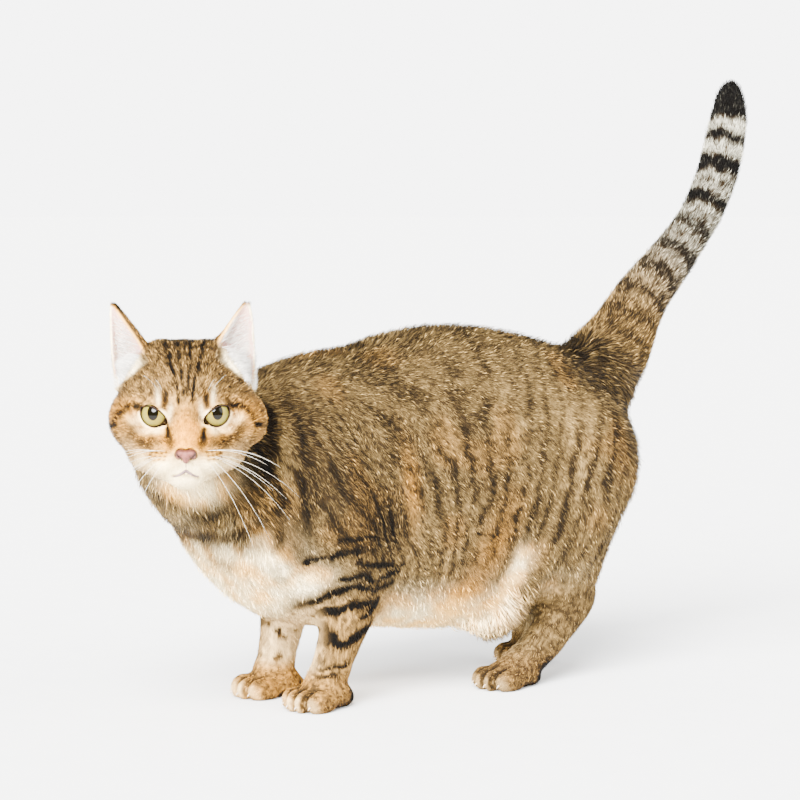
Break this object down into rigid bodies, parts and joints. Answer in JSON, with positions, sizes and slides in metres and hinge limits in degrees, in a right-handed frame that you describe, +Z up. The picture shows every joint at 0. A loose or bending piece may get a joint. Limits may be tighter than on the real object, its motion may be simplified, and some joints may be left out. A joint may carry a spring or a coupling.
{
  "type": "domestic shorthair cat",
  "caption": "Life-size still model of a standing tabby domestic shorthair cat, its head turned to its left and its tail raised.",
  "frame": {"origin": "on the floor, under the middle of the bounding box", "axes": "-X the way that the body faces, -Y the cat's left side, +Z up"},
  "size_m": [0.5776, 0.2008, 0.4283],
  "materials": {
    "head_coat": "short fur",
    "nose_leather": "matt, fine grain",
    "ear_coat": "very short fur",
    "eye": "wet gloss",
    "neck_coat": "short fur",
    "body_coat": "short fur",
    "tail_coat": "short fur",
    "tail_tip_coat": "short fur",
    "leg_coat": "short fur",
    "paw_coat": "very short fur"
  },
  "bodies": {
    "root": {"head": "head_coat", "nose": "nose_leather", "ear_left": "ear_coat", "ear_right": "ear_coat", "eye_left": "eye", "eye_right": "eye", "neck": "neck_coat", "torso": "body_coat", "tail_base": "tail_coat", "tail_middle": "tail_coat", "tail_tip": "tail_tip_coat", "shoulder_left": "body_coat", "foreleg_left": "leg_coat", "forepaw_left": "paw_coat", "shoulder_right": "body_coat", "foreleg_right": "leg_coat", "forepaw_right": "paw_coat", "thigh_left": "body_coat", "hindleg_left": "leg_coat", "hindpaw_left": "paw_coat", "thigh_right": "body_coat", "hindleg_right": "leg_coat", "hindpaw_right": "paw_coat"}
  },
  "joints": []
}
